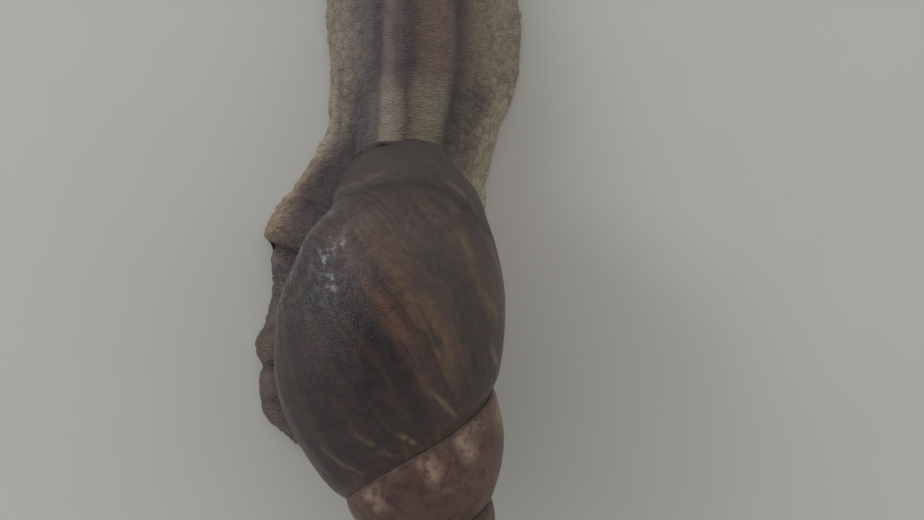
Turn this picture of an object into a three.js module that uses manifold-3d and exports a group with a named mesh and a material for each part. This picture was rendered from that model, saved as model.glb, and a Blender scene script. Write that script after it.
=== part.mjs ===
// Giant african land snail, life size, crawling with its right-hand coiled shell swung to one side.
// Millimetres, +Z up, head towards -Y, the animal's right side towards -X, the sole on z = 0.
import * as THREE from 'three';
import { mergeVertices } from 'three/addons/utils/BufferGeometryUtils.js';
import Module from 'manifold-3d';

const wasm = await Module();
wasm.setup();

// ---- driving sizes ----
const GAP = 0.3; // left between neighbouring pieces
const MERGED_WITHIN = 0.06; // facets flatter than this are joined
const FULL_TURN = 2 * Math.PI;
const BEYOND = 200; // further than any part of the animal reaches

// moves the model so that its bounding box stands centred on the origin
const PLACE = new THREE.Vector3(-11.6, 9.2, 0);

// The shell is one profile carried round and down an axis, growing by the same factor in each turn.
// "Share" is a share of the shell's length, and turns are counted back from the lip.
const shell = {
  length: 81.2,
  growth: 1.629, // from one whorl to the next
  whorls: 4.8,
  crown: 0.7, // how near the tip lies to the first turn, so that the apex is blunt
  girthShare: 0.26, // greatest radius of the last whorl
  girthAt: 0.724, // how far from the apex it lies
  shoulderShare: 0.377, // from the girth back to where the profile leaves the axis
  shoulderPower: 1.478,
  baseBulge: 1.83,
  basePower: 3.085,
  innerBulge: 0.105, // how much fuller the inner whorls are, reached between these two turns
  innerFrom: 0.4,
  innerTo: 1,
  lipAngle: THREE.MathUtils.degToRad(118), // outer lip, from the top of the back to the animal's right
  turnedFrom: 0.8, // the base turns towards the lip from this share on
  turnedPower: 2.4,
  turnedAside: 0.118,
  turnedBack: 0.073,
  turnedThinner: 0.45,
  swing: THREE.MathUtils.degToRad(18.3), // axis, from straight back
  tilt: THREE.MathUtils.degToRad(4), // axis, rising towards the base
  apex: new THREE.Vector3(-3, 57.9, 18.9),
};

const SOLE_SPLIT = 5; // height of the cut between the foot and what it carries
const FRONT_FOOT_END = -34;
const MIDDLE_FOOT_END = -4;
const TAIL_START = 28;
const NECK_START = -48;
const NECK_SPLIT = -33;
const TRUNK_START = -17;
const SNOUT_START = -65;

// Foot and back, from the front of the foot to the tip of the tail: where the station lies, the left and
// right edge of the sole, the line of the back and its height, and the thickness of the edge.
const stations = [
  { y: -61, left: 6.6, right: 6.4, ridge: 6.5, height: 1.2, rim: 1.0 },
  { y: -59.5, left: 12.5, right: 0.5, ridge: 6.5, height: 4, rim: 1.2 },
  { y: -54, left: 18, right: -5, ridge: 6.5, height: 9, rim: 1.4 },
  { y: -47, left: 20.8, right: -7.8, ridge: 6.5, height: 12.5, rim: 1.5 },
  { y: -40, left: 21.9, right: -8.9, ridge: 6.5, height: 14.5, rim: 1.6 },
  { y: -27, left: 21.5, right: -8.8, ridge: 6.8, height: 16.5, rim: 1.6 },
  { y: -17, left: 22.5, right: -5.3, ridge: 8, height: 18.5, rim: 1.5 },
  { y: -10, left: 27.5, right: -4, ridge: 9, height: 19, rim: 1.4 },
  { y: -4, left: 30.6, right: -3.8, ridge: 10, height: 18.5, rim: 1.3 },
  { y: 4, left: 30, right: -3.8, ridge: 11, height: 16.5, rim: 1.3 },
  { y: 13, left: 32.2, right: -4, ridge: 12, height: 13, rim: 1.3 },
  { y: 22, left: 31, right: -3.6, ridge: 12, height: 9.5, rim: 1.3 },
  { y: 28, left: 26, right: -3, ridge: 12, height: 7.5, rim: 1.3 },
  { y: 36, left: 19.3, right: -0.8, ridge: 10.5, height: 5.4, rim: 1.3 },
  { y: 44, left: 13.5, right: 2.5, ridge: 8.5, height: 3.6, rim: 1.2 },
  { y: 48.6, left: 10.2, right: 5, ridge: 7.8, height: 2.2, rim: 1.1 },
  { y: 50, left: 7.9, right: 7.5, ridge: 7.7, height: 1.2, rim: 1.0 },
];
const BACK_POWER = 1.25; // above 1 the back falls away to a thin hem
const HEM_SHARE = 0.6; // of the hem's thickness, where the sole's edge turns up into the back
const HEM_INSET = 0.4; // of the hem's thickness, how far the flat sole stays inside the edge
const SOLE_SHARE = 0.2; // of the way around the body that lies on the floor

// The stalk of flesh under the shell, an egg shape
const stalk = {
  middle: new THREE.Vector3(7.2, 1, 9),
  halfSize: new THREE.Vector3(11, 20, 15),
  cutAbove: 0.5,
};

// The roll of the mantle inside the lip: where it runs along the lip, how far in and below, how thick
const collar = {
  shares: [0.48, 0.6, 0.72, 0.83, 0.91],
  inward: 2.4,
  below: 1.6,
  radius: 2.4,
  taperFrom: 0.12,
  taperSpan: 0.76,
};

// ---- solids ----

/** A Manifold from a list of triangles, turned so that its faces look outward. */
function solidFromTriangles(triangles) {
  const geometry = new THREE.BufferGeometry();
  geometry.setFromPoints(triangles.flat());
  return solidFromGeometry(geometry);
}

/** A Manifold from a three.js geometry: points welded, flat triangles dropped, faces turned outward. */
function solidFromGeometry(geometry) {
  geometry.deleteAttribute('normal');
  geometry.deleteAttribute('uv');
  const welded = mergeVertices(geometry, 1e-3);
  const index = welded.getIndex().array;
  const position = welded.getAttribute('position');
  const kept = [];
  const corner = [new THREE.Vector3(), new THREE.Vector3(), new THREE.Vector3()];
  let volume = 0;
  for (let i = 0; i < index.length; i += 3) {
    const [a, b, c] = index.slice(i, i + 3);
    if (a === b || b === c || c === a) continue;
    corner.forEach((point, j) => point.fromBufferAttribute(position, index[i + j]));
    volume += corner[0].dot(corner[1].clone().cross(corner[2])) / 6;
    kept.push(a, b, c);
  }
  if (volume < 0) kept.reverse();
  const mesh = new wasm.Mesh({
    numProp: 3,
    vertProperties: new Float32Array(position.array),
    triVerts: new Uint32Array(kept),
  });
  return new wasm.Manifold(mesh);
}

/** The biggest connected piece of a solid, so that a cut leaves no crumbs. */
function largestPiece(solid) {
  const pieces = solid.decompose();
  return pieces.reduce((best, piece) => (piece.volume() > best.volume() ? piece : best));
}

/** A closed surface from a grid function: `around` wraps, and each end of `along` closes on its middle. */
function lofted(pointAt, around, along) {
  const rings = [];
  for (let j = 0; j <= along; j += 1) {
    const ring = [];
    for (let i = 0; i < around; i += 1) ring.push(pointAt(i / around, j / along));
    rings.push(ring);
  }
  const triangles = [];
  for (let j = 0; j < along; j += 1) {
    for (let i = 0; i < around; i += 1) {
      const next = (i + 1) % around;
      const quad = [rings[j][i], rings[j][next], rings[j + 1][next], rings[j + 1][i]];
      triangles.push([quad[0], quad[1], quad[2]], [quad[0], quad[2], quad[3]]);
    }
  }
  for (const [ring, isStart] of [[rings[0], true], [rings[along], false]]) {
    const middle = ring.reduce((sum, point) => sum.add(point), new THREE.Vector3()).divideScalar(around);
    for (let i = 0; i < around; i += 1) {
      const edge = [ring[i], ring[(i + 1) % around]];
      triangles.push(isStart ? [middle, edge[1], edge[0]] : [middle, edge[0], edge[1]]);
    }
  }
  return solidFromTriangles(triangles);
}

/** The slab of a solid between two heights of one axis. */
function slab(solid, axis, from, to) {
  const normal = [0, 0, 0];
  normal[axis] = 1;
  const back = normal.map((value) => -value);
  return solid.trimByPlane(normal, from).trimByPlane(back, -to);
}

// ---- shell ----

/** Radius of the last whorl at a share of the length from the apex. */
function whorlRadius(share) {
  const above = (shell.girthAt - share) / shell.shoulderShare;
  const below = (share - shell.girthAt) / (1 - shell.girthAt);
  if (above > 0) return shell.girthShare * Math.max(0, 1 - above ** 2) ** (1 / shell.shoulderPower);
  return shell.girthShare * Math.max(0, 1 - below ** shell.baseBulge) ** (1 / shell.basePower);
}

/** How much fuller the shell is at a turn than the plain growth gives. */
function fullness(turn) {
  const ramp = THREE.MathUtils.clamp((-turn - shell.innerFrom) / (shell.innerTo - shell.innerFrom), 0, 1);
  return 1 + shell.innerBulge * ramp;
}

/** Share of its own size at which the whorl at a turn comes out from under the one inside it. */
function upperSuture(turn) {
  let low = shell.girthAt - shell.shoulderShare;
  let high = shell.girthAt;
  for (let step = 0; step < 40; step += 1) {
    const middle = (low + high) / 2;
    const outer = whorlRadius(middle) * fullness(turn);
    const inner = whorlRadius(middle * shell.growth) / shell.growth * fullness(turn - 1);
    if (outer < inner) low = middle;
    else high = middle;
  }
  return low;
}

/** Share of its own size at which the whorl at a turn goes under the next one. */
function lowerSuture(turn) {
  return upperSuture(turn + 1) * shell.growth;
}

const cosSwing = Math.cos(shell.swing);
const sinSwing = Math.sin(shell.swing);
const toBase = new THREE.Vector3(
  sinSwing * Math.cos(shell.tilt),
  -cosSwing * Math.cos(shell.tilt),
  Math.sin(shell.tilt),
);
const toRight = new THREE.Vector3(-cosSwing, -sinSwing, 0);
const toBack = toRight.clone().cross(toBase).normalize();

/** A point of the shell: `turn` counts back from the lip, `share` runs down the whorl's profile. */
function shellPoint(turn, share, radiusGrown, axisGrown) {
  const size = shell.growth ** turn;
  const down = size * share + axisGrown / shell.length;
  const radius = size * whorlRadius(share) * fullness(turn) + radiusGrown / shell.length;
  const angle = shell.lipAngle + FULL_TURN * turn;
  const pastTurn = (down - shell.turnedFrom) / (1 - shell.turnedFrom);
  const turned = THREE.MathUtils.clamp(pastTurn, 0, 1) ** shell.turnedPower;
  const width = radius * (1 - shell.turnedThinner * turned);
  const aside = Math.sin(angle) * width + shell.turnedAside * turned;
  const up = Math.cos(angle) * width;
  return shell.apex.clone()
    .addScaledVector(toBase, shell.length * (down - shell.turnedBack * turned))
    .addScaledVector(toRight, shell.length * aside)
    .addScaledVector(toBack, shell.length * up);
}

/** Triangles between two lines of points that share their first and last point. */
function zipped(lineA, lineB) {
  const triangles = [];
  let a = 0;
  let b = 0;
  while (a < lineA.length - 1 || b < lineB.length - 1) {
    const stepA = b === lineB.length - 1 || (a < lineA.length - 1 && a * lineB.length <= b * lineA.length);
    if (stepA) {
      triangles.push([lineA[a], lineB[b], lineA[a + 1]]);
      a += 1;
    } else {
      triangles.push([lineA[a], lineB[b], lineB[b + 1]]);
      b += 1;
    }
  }
  return triangles;
}

/**
 * The shell from its apex to the whorl that lies `inner` turns back from the lip, as one solid: the spiral
 * strip between two sutures, the base of its last turn, the flat of the aperture and a cap on the apex.
 */
function shellSolid({ inner, grown, around, across, below }) {
  const ahead = 2 * grown / (shell.length * shell.girthShare * FULL_TURN);
  const lastTurn = -inner + (grown > 0 ? ahead : 0);
  const turns = shell.whorls - inner;
  const columns = Math.round(turns * around);
  const turnOf = (column) => lastTurn - (columns - column) / around;
  const strip = [];
  for (let column = 0; column <= columns; column += 1) {
    const turn = turnOf(column);
    const [upper, lower] = [upperSuture(turn), lowerSuture(turn)];
    const line = [];
    for (let row = 0; row <= across; row += 1) {
      line.push(shellPoint(turn, upper + (lower - upper) * row / across, grown, 0));
    }
    strip.push(line);
  }
  const base = [];
  for (let column = columns - around; column <= columns; column += 1) {
    const turn = turnOf(column);
    const lower = lowerSuture(turn);
    const line = [];
    for (let row = 0; row <= below; row += 1) {
      const eased = Math.sin(row / below * Math.PI / 2);
      const share = lower + (1 - lower) * eased;
      line.push(shellPoint(turn, share, row === below ? 0 : grown, grown * eased));
    }
    base.push(line);
  }
  const triangles = [];
  for (const grid of [strip, base]) {
    for (let column = 0; column < grid.length - 1; column += 1) {
      for (let row = 0; row < grid[0].length - 1; row += 1) {
        const [a, b] = [grid[column][row], grid[column][row + 1]];
        const [c, d] = [grid[column + 1][row + 1], grid[column + 1][row]];
        triangles.push([a, b, c], [a, c, d]);
      }
    }
  }
  // the aperture's flat: the lip outside, and inside it the whorl before and the axis
  const lip = [...strip[columns], ...base[around].slice(1)];
  const axisLine = base.map((line) => line[below]);
  const inside = [...base[0], ...axisLine.slice(1)];
  triangles.push(...zipped(inside, lip));
  // the cap on the apex
  const crown = strip.slice(0, around + 1).map((line) => line[0]);
  const crownBack = strip[0].slice().reverse();
  const ring = [...crown, ...crownBack.slice(1)];
  const firstTurn = turnOf(0);
  const tipDown = shell.growth ** firstTurn * upperSuture(firstTurn) * shell.crown * shell.length;
  const tip = shell.apex.clone().addScaledVector(toBase, tipDown - grown);
  for (let i = 0; i < ring.length - 1; i += 1) triangles.push([tip, ring[i], ring[i + 1]]);
  return solidFromTriangles(triangles);
}

// Where each piece of the shell starts, in turns back from the lip, and how finely it is faceted
const whorls = [
  { name: 'shell_body_whorl', inner: 0, around: 40, across: 5, below: 8 },
  { name: 'shell_penultimate_whorl', inner: 1, around: 28, across: 4, below: 5 },
  { name: 'shell_spire', inner: 2, around: 22, across: 3, below: 4 },
  { name: 'shell_apex', inner: 3, around: 18, across: 3, below: 3 },
];

/** The room that the shell takes from one whorl inward, with the gap around it. */
function shellRoom(whorl) {
  const swollen = shellSolid({ ...whorl, grown: GAP, around: Math.round(whorl.around * 0.75) });
  return swollen.add(shellSolid({ ...whorl, grown: 0 }));
}

/** Each whorl by itself: the shell from there inward, less the room of the next piece. */
function whorlPieces() {
  return whorls.map((whorl, i) => {
    const solid = shellSolid({ ...whorl, grown: 0 });
    const next = whorls[i + 1];
    return [whorl.name, next ? largestPiece(solid.subtract(shellRoom(next))) : solid];
  });
}

// ---- foot, neck and trunk ----

/** One size of the stations, read smoothly at any place along the body. */
function stationSize(name) {
  const line = new THREE.CatmullRomCurve3(stations.map((row) => new THREE.Vector3(row.y, row[name], 0)));
  line.curveType = 'centripetal';
  const samples = line.getPoints(stations.length * 24);
  return (y) => {
    const next = Math.max(1, samples.findIndex((point) => point.x >= y));
    const [a, b] = [samples[next - 1], samples[next]];
    return THREE.MathUtils.lerp(a.y, b.y, THREE.MathUtils.clamp((y - a.x) / (b.x - a.x), 0, 1));
  };
}

const leftEdge = stationSize('left');
const rightEdge = stationSize('right');
const ridgeLine = stationSize('ridge');
const backHeight = stationSize('height');
const hemHeight = stationSize('rim');

/** The whole foot and back: a flat sole, a thin hem, and a back that swells from the hem to the ridge. */
function bodySolid() {
  const front = stations[0].y;
  const rear = stations.at(-1).y;
  return lofted((round, far) => {
    const y = THREE.MathUtils.lerp(front, rear, far);
    const [left, right, ridge] = [leftEdge(y), rightEdge(y), ridgeLine(y)];
    const rim = hemHeight(y);
    const edge = rim * HEM_SHARE;
    if (round < SOLE_SHARE) {
      const across = (round / SOLE_SHARE) * 2 - 1;
      const inset = rim * HEM_INSET;
      const middle = (left + right) / 2;
      const half = (left - right) / 2 - Math.min(inset, (left - right) / 4);
      return new THREE.Vector3(middle + half * across, y, 0);
    }
    const across = Math.cos((round - SOLE_SHARE) / (1 - SOLE_SHARE) * Math.PI);
    const reach = across > 0 ? left - ridge : ridge - right;
    const x = ridge + reach * across;
    const swell = (1 - across * across) ** BACK_POWER;
    return new THREE.Vector3(x, y, edge + (backHeight(y) - edge) * swell);
  }, 25, 44);
}

/** The stalk that rises from the foot into the aperture: an egg shape under the shell. */
function trunkStalk() {
  const egg = new THREE.SphereGeometry(1, 18, 12);
  egg.scale(...stalk.halfSize);
  egg.translate(...stalk.middle);
  return solidFromGeometry(egg).trimByPlane([0, 0, 1], stalk.cutAbove);
}

/** The roll of the mantle along the inside of the lip, from the back of the aperture round to its front. */
function collarSolid(thicker) {
  const points = collar.shares.map((share) => {
    const point = shellPoint(0, share, -collar.inward, 0);
    point.z -= collar.below;
    return point;
  });
  const path = new THREE.CatmullRomCurve3(points);
  const radiusAt = (along) => {
    const rounded = Math.sin(Math.PI * (collar.taperFrom + collar.taperSpan * along));
    return collar.radius * Math.sqrt(rounded) + thicker;
  };
  return tube(path, radiusAt, 10, 18);
}

/** A round solid along a curve with its own radius at each point. */
function tube(path, radiusAt, around, along) {
  const frames = path.computeFrenetFrames(along);
  return lofted((round, far) => {
    const j = Math.round(far * along);
    const angle = round * FULL_TURN;
    const radius = radiusAt(far);
    return path.getPointAt(far)
      .addScaledVector(frames.normals[j], Math.cos(angle) * radius)
      .addScaledVector(frames.binormals[j], Math.sin(angle) * radius);
  }, around, along);
}

// ---- head ----

const head = {
  middle: 6.5, // its place to the side
  front: -69.5,
  rear: -46,
  neckWidth: 11.2, // half width where it joins the neck
  narrowing: 0.3, // share of that width lost at the mouth
  narrowingPower: 1.3,
  neckHeight: 13.2,
  mouthHeight: 8.4,
  sinkingPower: 1.6,
  underside: 2.2,
  bluntness: 9, // the higher, the blunter the snout
  squared: 0.86, // 1 is round, less is squarer
};

/** A sine or cosine pushed outward, so that the circle it draws is slightly square. */
function squaredOff(value) {
  return Math.sign(value) * Math.abs(value) ** head.squared;
}

/** The head: rounded sections from the neck forward, narrowing and sinking to the blunt snout. */
function headSolid(grown) {
  const length = head.rear - head.front;
  return lofted((round, far) => {
    const angle = round * FULL_TURN;
    const roundedEnd = Math.sqrt(Math.max(0.0004, 1 - far ** head.bluntness));
    const narrowed = head.neckWidth * (1 - head.narrowing * far ** head.narrowingPower);
    const width = (narrowed + grown) * roundedEnd;
    const top = THREE.MathUtils.lerp(head.neckHeight, head.mouthHeight, far ** head.sinkingPower);
    const middle = (top + head.underside) / 2;
    const height = ((top - head.underside) / 2 + grown) * roundedEnd;
    const x = head.middle + width * squaredOff(Math.cos(angle));
    const z = middle + height * squaredOff(Math.sin(angle));
    return new THREE.Vector3(x, head.rear - (length + grown) * far, z);
  }, 20, 14);
}

// Feelers: where they leave the head, how far they reach and how they taper, for the left side
const upperFeeler = {
  root: new THREE.Vector3(4.6, -59, 10.2),
  reach: [
    new THREE.Vector3(2.6, -5, 3.4),
    new THREE.Vector3(5.4, -9.6, 7.4),
    new THREE.Vector3(7.8, -14.2, 11.2),
  ],
  rootRadius: 1.75,
  waistRadius: 0.95,
  waistAt: 0.55, // share of the length at which it is slimmest
  bulbRadius: 1.35,
};
const lowerFeeler = {
  root: new THREE.Vector3(3.6, -66.4, 5.6),
  reach: [
    new THREE.Vector3(0.8, -2, 0.2),
    new THREE.Vector3(1.5, -3.7, 0),
    new THREE.Vector3(2.2, -5.6, -0.4),
  ],
  rootRadius: 1.1,
  waistRadius: 0.7,
  waistAt: 0.55,
  bulbRadius: 0.85,
};

// The eye: a bead beside the tip of the feeler, set outward, forward and up from its middle line
const eye = {
  radius: 0.75,
  along: 0.955,
  offset: new THREE.Vector3(0.45, -0.75, 0.55),
};
const ROOT_OVERLAP = new THREE.Vector3(-0.4, 1.2, -1); // from a feeler's root back into the head

/** A feeler's middle line on one side, from just inside the head to its tip. */
function feelerPath(feeler, side) {
  const root = new THREE.Vector3(head.middle + side * feeler.root.x, feeler.root.y, feeler.root.z);
  const inside = new THREE.Vector3(ROOT_OVERLAP.x * feeler.rootRadius, ROOT_OVERLAP.y, ROOT_OVERLAP.z);
  const steps = [inside, new THREE.Vector3(), ...feeler.reach];
  const mirror = new THREE.Vector3(side, 1, 1);
  return new THREE.CatmullRomCurve3(steps.map((step) => step.clone().multiply(mirror).add(root)));
}

/** A feeler: thick at the root, slim along the stalk, with a round bulb at the tip. */
function feelerSolid(feeler, side, grown) {
  const path = feelerPath(feeler, side);
  const bulbFrom = 1 - 2 * feeler.bulbRadius / path.getLength();
  return tube(path, (far) => {
    const thinned = Math.min(1, far / feeler.waistAt) ** 0.7;
    const stem = THREE.MathUtils.lerp(feeler.rootRadius, feeler.waistRadius, thinned);
    const across = (far - bulbFrom) / (1 - bulbFrom) * 2 - 1;
    if (across <= -1) return stem + grown;
    const bulb = feeler.bulbRadius * Math.sqrt(Math.max(0.02, 1 - across ** 2));
    return (across > 0 ? bulb : Math.max(stem, bulb)) + grown;
  }, 8, 16);
}

/** The eye of an upper feeler, set in the outer front of its bulb. */
function eyeSolid(side, grown) {
  const middle = feelerPath(upperFeeler, side).getPointAt(eye.along);
  middle.add(eye.offset.clone().multiply(new THREE.Vector3(side, 1, 1)));
  const bead = new THREE.SphereGeometry(eye.radius + grown, 12, 8);
  bead.translate(...middle);
  return solidFromGeometry(bead);
}

// ---- all together ----

const colours = {
  shell: { color: 0x4a2f22, roughness: 0.3 },
  spire: { color: 0x6b4a33, roughness: 0.35 },
  skin: { color: 0x6d5a4a, roughness: 0.6 },
  foot: { color: 0x8a7862, roughness: 0.6 },
  mantle: { color: 0x8c7466, roughness: 0.5 },
  eye: { color: 0x0c0a0a, roughness: 0.15 },
};

const snail = new THREE.Group();
snail.position.copy(PLACE);

function addNode(name, solid, colour) {
  const { vertProperties, triVerts } = solid.simplify(MERGED_WITHIN).getMesh();
  const geometry = new THREE.BufferGeometry();
  geometry.setAttribute('position', new THREE.BufferAttribute(Float32Array.from(vertProperties), 3));
  geometry.setIndex(Array.from(triVerts));
  geometry.computeVertexNormals();
  const mesh = new THREE.Mesh(geometry, new THREE.MeshStandardMaterial({ ...colours[colour], metalness: 0 }));
  mesh.name = name;
  snail.add(mesh);
}

for (const [name, solid] of whorlPieces()) {
  addNode(name, solid, name === 'shell_body_whorl' ? 'shell' : 'spire');
}

const wholeShellRoom = shellRoom(whorls[0]);
const collarPiece = collarSolid(0).subtract(wholeShellRoom);
const collarClearance = collarSolid(GAP);
addNode('mantle_collar', largestPiece(collarPiece), 'mantle');

const flesh = bodySolid().add(trunkStalk()).subtract(wholeShellRoom).subtract(collarClearance);
const footHeight = slab(flesh, 2, -BEYOND, SOLE_SPLIT);
const aboveFoot = slab(flesh, 2, SOLE_SPLIT + GAP, BEYOND);
const headClearance = headSolid(GAP);

const footPieces = [
  ['foot_front', -BEYOND, FRONT_FOOT_END],
  ['foot_middle', FRONT_FOOT_END + GAP, MIDDLE_FOOT_END],
  ['foot_rear', MIDDLE_FOOT_END + GAP, TAIL_START],
];
for (const [name, from, to] of footPieces) {
  addNode(name, largestPiece(slab(footHeight, 1, from, to).subtract(headClearance)), 'foot');
}
addNode('tail', largestPiece(slab(flesh, 1, TAIL_START + GAP, BEYOND)), 'foot');

const upperPieces = [
  ['neck_front', NECK_START, NECK_SPLIT],
  ['neck_rear', NECK_SPLIT + GAP, TRUNK_START],
  ['trunk', TRUNK_START + GAP, TAIL_START],
];
for (const [name, from, to] of upperPieces) {
  addNode(name, largestPiece(slab(aboveFoot, 1, from, to).subtract(headClearance)), 'skin');
}

let headPiece = headSolid(0);
for (const [sideName, side] of [['left', 1], ['right', -1]]) {
  headPiece = headPiece.subtract(feelerSolid(upperFeeler, side, GAP));
  headPiece = headPiece.subtract(feelerSolid(lowerFeeler, side, GAP));
  const upper = feelerSolid(upperFeeler, side, 0).subtract(eyeSolid(side, GAP / 2));
  addNode(`upper_tentacle_${sideName}`, largestPiece(upper), 'skin');
  addNode(`eye_${sideName}`, eyeSolid(side, 0), 'eye');
  addNode(`lower_tentacle_${sideName}`, feelerSolid(lowerFeeler, side, 0), 'skin');
}
addNode('head', largestPiece(slab(headPiece, 1, SNOUT_START + GAP, BEYOND)), 'skin');
addNode('snout', largestPiece(slab(headPiece, 1, -BEYOND, SNOUT_START)), 'skin');

export default snail;
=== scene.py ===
"""Giant african land snail, life size, crawling on a plain floor.

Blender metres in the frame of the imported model: +Z up, head towards -Y, the animal's right side
towards -X, the sole on z = 0. Shapes are worked out in millimetres and scaled when a mesh is made.
"""
import math

import bpy
import numpy as np
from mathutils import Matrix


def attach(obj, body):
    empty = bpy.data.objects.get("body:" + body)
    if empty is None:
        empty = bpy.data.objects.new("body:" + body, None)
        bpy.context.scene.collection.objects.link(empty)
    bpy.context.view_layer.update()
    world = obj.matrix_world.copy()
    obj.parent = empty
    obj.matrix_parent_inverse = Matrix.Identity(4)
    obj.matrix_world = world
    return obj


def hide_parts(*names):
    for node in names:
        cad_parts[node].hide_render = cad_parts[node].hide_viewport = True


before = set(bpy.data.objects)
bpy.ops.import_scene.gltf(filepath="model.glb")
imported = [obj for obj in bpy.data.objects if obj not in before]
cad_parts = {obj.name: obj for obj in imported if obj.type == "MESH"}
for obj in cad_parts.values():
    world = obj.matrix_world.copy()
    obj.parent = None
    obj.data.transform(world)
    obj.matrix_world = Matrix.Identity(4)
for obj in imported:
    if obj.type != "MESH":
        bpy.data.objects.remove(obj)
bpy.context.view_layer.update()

MM = 0.001
FULL_TURN = 2 * math.pi
PLACE = np.array([-11.6, 9.2, 0.0])  # from the drawing's own zero to the middle of the model

# ---- sizes of the shell: shares of its length, turns counted back from the lip ----

SHELL_LENGTH = 81.2
GROWTH = 1.629
WHORLS = 4.8
CROWN = 0.7
GIRTH = 0.26
GIRTH_AT = 0.724
SHOULDER = 0.377
SHOULDER_POWER = 1.478
BASE_BULGE = 1.83
BASE_POWER = 3.085
INNER_BULGE = 0.105
INNER_FROM, INNER_TO = 0.4, 1.0
LIP_ANGLE = math.radians(118)
TURNED_FROM = 0.8
TURNED_POWER = 2.4
TURNED_ASIDE = 0.118
TURNED_BACK = 0.073
TURNED_THINNER = 0.45
SWING = math.radians(18.3)
TILT = math.radians(4)
APEX = np.array([-3.0, 57.9, 18.9])
TO_BASE = np.array([math.sin(SWING) * math.cos(TILT), -math.cos(SWING) * math.cos(TILT), math.sin(TILT)])
TO_RIGHT = np.array([-math.cos(SWING), -math.sin(SWING), 0.0])
TO_BACK = np.cross(TO_RIGHT, TO_BASE)
TO_BACK /= np.linalg.norm(TO_BACK)

COLUMNS_PER_TURN = 240
STRIP_ROWS = 30
BASE_ROWS = 64
WALL_ROWS = 12
LIP_THICKNESS = 0.7
LIP_EDGE = ((0.0012, 0.12), (0.0014, 0.4), (0.0004, 0.7))  # turns beyond the lip, share of its thickness
HIDDEN_COLUMNS = 11
APERTURE_DEPTH = HIDDEN_COLUMNS / COLUMNS_PER_TURN  # turns from the lip back to the aperture's wall
GROWTH_LINE_LEAN = 0.139  # turns that a growth line falls back over the whole profile
SPOON_FLARE = 0.6  # how far the base spreads before it closes
SUTURE_WIDTH, PLEAT_WIDTH = 0.03, 0.1  # as shares of the strip
LEAST_RADIUS = 0.15  # the share of its radius that a pressed-in place keeps
HALVINGS = 40
FRONT_MIDDLE = (-4.6, -1.7)  # where the rest line behind the new growth is foremost, in the model's mm

# corners of the shell's outline: place, push and reach in mm
CORNERS = (
    (15.6, -15.4, 0.5, -0.6, 3.6), (3.2, -16.4, -0.7, -0.5, 3.0), (-1.8, -10.0, -0.6, -0.8, 4.6),
    (12.4, -16.6, 0.1, -0.75, 2.6),
    (17.0, 34.5, 0.8, 0.9, 6.0), (21.6, -4.2, 1.3, -0.7, 5.4), (28.4, 11.0, -0.55, 0.0, 8.0),
)

# the room under the shell: cells of the floor, a height where nothing is overhead, and the skin's gap
UNDER_CELL = 0.8
OPEN_SKY = 90.0
SKIN_CLEAR = 0.25
SKIN_SOFTNESS = 0.25  # mm over which the skin starts to give way

# ---- sizes of the foot and back, from the front of the foot to the tip of the tail ----

STATIONS = np.array([
    # y, left edge, right edge, line of the back, height, thickness of the hem
    (-61, 6.6, 6.4, 6.5, 1.2, 1.0),
    (-59.5, 12.5, 0.5, 6.5, 4, 1.2),
    (-54, 18, -5, 6.5, 9, 1.4),
    (-47, 20.8, -7.8, 6.5, 12.5, 1.5),
    (-40, 21.3, -8.9, 6.5, 14.3, 1.6),
    (-27, 20.9, -8.8, 6.8, 15.6, 1.6),
    (-17, 22.5, -5.3, 8, 16.6, 1.5),
    (-10, 27.5, -4, 9, 18, 1.4),
    (-4, 29.9, -3.8, 10, 18.5, 1.3),
    (4, 28.8, -3.8, 11, 16.5, 1.3),
    (13, 32.2, -4, 12, 13, 1.3),
    (22, 31.2, -3.6, 12, 9.5, 1.3),
    (25, 30.6, -3.3, 12, 8.5, 1.3),
    (28, 26.2, -3, 12, 7.5, 1.3),
    (32, 18.5, -2, 11.5, 6.4, 1.3),
    (38, 14.5, -0.2, 10, 4.9, 1.3),
    (44, 11.6, 2.5, 8.5, 3.6, 1.2),
    (48.6, 10.2, 5, 7.8, 2.2, 1.1),
    (50, 7.9, 7.5, 7.7, 1.2, 1.0),
])
LEFT_EDGE, RIGHT_EDGE, BACK_LINE, BACK_HEIGHT, HEM = 1, 2, 3, 4, 5
FOOT_FRONT, FOOT_REAR = STATIONS[0, 0], STATIONS[-1, 0]
BODY_RINGS, SOLE_POINTS, BACK_POINTS = 320, 40, 110
BACK_POWER = 1.25
# where the dark line down the middle of the neck runs, as y and x
DARK_LINE = ((-70, -55, -38, -18, 10, 50), (6.5, 6.5, 8.0, 8.6, 10, 8))
BREATHING_PORE, PORE_SIZE = (-3.9, -6.5, 9.0), (2.0, 1.5, 1.1)
# where the left skirt is folded across, and how deep
SKIRT_FOLDS = ((-12.0, 0.4), (-6.5, 0.5), (0.7, 1.5), (7.5, 0.4), (12.0, 0.6), (17.6, 1.0), (24.0, 0.5))
SKIN_VOXEL = 0.42
SKIN_SMOOTHINGS = 7

# ---- sizes of the head, its feelers and eyes ----

HEAD_X = 6.5
HEAD_FRONT, HEAD_REAR = -69.5, -46.0
HEAD_SQUARED = 0.86
NECK_HALF_WIDTH = 11.2
NECK_HEIGHT, MOUTH_HEIGHT, CHIN_HEIGHT = 13.2, 8.4, 2.2
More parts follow.
